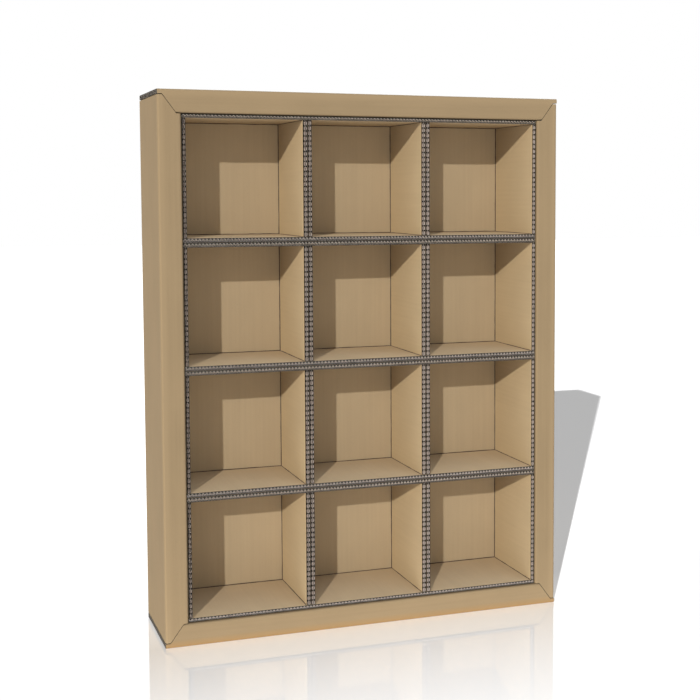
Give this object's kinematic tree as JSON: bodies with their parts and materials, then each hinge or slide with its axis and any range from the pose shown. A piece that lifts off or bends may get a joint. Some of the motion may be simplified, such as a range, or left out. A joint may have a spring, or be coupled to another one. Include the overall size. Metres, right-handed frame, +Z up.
{
  "type": "pigeonhole shelf",
  "caption": "Free-standing pigeonhole shelf of double-wall corrugated board: rows of square open cells in a folded casing with a mitred front rim and a closed back.",
  "frame": {"origin": "middle of the base, on the surface that the shelf stands on", "axes": "+Z up, -Y out of the open front, +X to the right of someone facing the front"},
  "size_m": [0.635, 0.168, 0.824],
  "materials": {
    "casing_board": "matte brown kraft liner, fine fibres and faint flute lines",
    "rack_board": "matte brown kraft liner, raw corrugated front edges"
  },
  "bodies": {
    "root": {"casing_top": "casing_board", "casing_bottom": "casing_board", "casing_left": "casing_board", "casing_right": "casing_board", "back_panel": "casing_board", "rack_back": "rack_board", "row_1_floor": "rack_board", "row_1_ceiling": "rack_board", "row_2_floor": "rack_board", "row_2_ceiling": "rack_board", "row_3_floor": "rack_board", "row_3_ceiling": "rack_board", "row_4_floor": "rack_board", "row_4_ceiling": "rack_board", "row_1_cell_1_left_wall": "rack_board", "row_1_cell_1_right_wall": "rack_board", "row_1_cell_2_left_wall": "rack_board", "row_1_cell_2_right_wall": "rack_board", "row_1_cell_3_left_wall": "rack_board", "row_1_cell_3_right_wall": "rack_board", "row_2_cell_1_left_wall": "rack_board", "row_2_cell_1_right_wall": "rack_board", "row_2_cell_2_left_wall": "rack_board", "row_2_cell_2_right_wall": "rack_board", "row_2_cell_3_left_wall": "rack_board", "row_2_cell_3_right_wall": "rack_board", "row_3_cell_1_left_wall": "rack_board", "row_3_cell_1_right_wall": "rack_board", "row_3_cell_2_left_wall": "rack_board", "row_3_cell_2_right_wall": "rack_board", "row_3_cell_3_left_wall": "rack_board", "row_3_cell_3_right_wall": "rack_board", "row_4_cell_1_left_wall": "rack_board", "row_4_cell_1_right_wall": "rack_board", "row_4_cell_2_left_wall": "rack_board", "row_4_cell_2_right_wall": "rack_board", "row_4_cell_3_left_wall": "rack_board", "row_4_cell_3_right_wall": "rack_board"}
  },
  "joints": []
}
